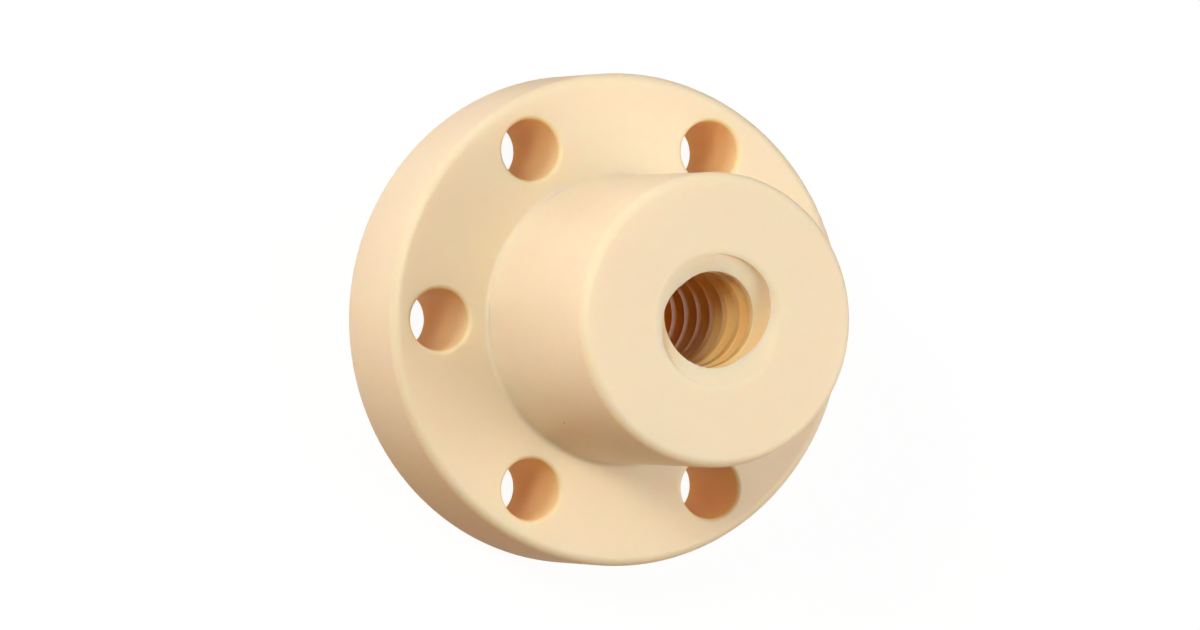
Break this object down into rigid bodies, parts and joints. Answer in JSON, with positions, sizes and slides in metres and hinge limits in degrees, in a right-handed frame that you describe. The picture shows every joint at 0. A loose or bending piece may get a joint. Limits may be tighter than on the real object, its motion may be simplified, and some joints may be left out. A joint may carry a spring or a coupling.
{
  "type": "lead screw nut",
  "caption": "Flanged lead screw nut: a round hub with a coarse trapezoidal thread through it, on a thick round flange with a ring of plain screw holes.",
  "frame": {"origin": "centre of the flange's back face, on the screw's axis", "axes": "+Z along the screw's axis, from the flange's back face to the hub's nose; +X through one of the screw holes"},
  "size_m": [0.048, 0.048, 0.035],
  "materials": {
    "bearing_plastic": "satin"
  },
  "bodies": {
    "root": {"nut": "bearing_plastic"}
  },
  "joints": []
}
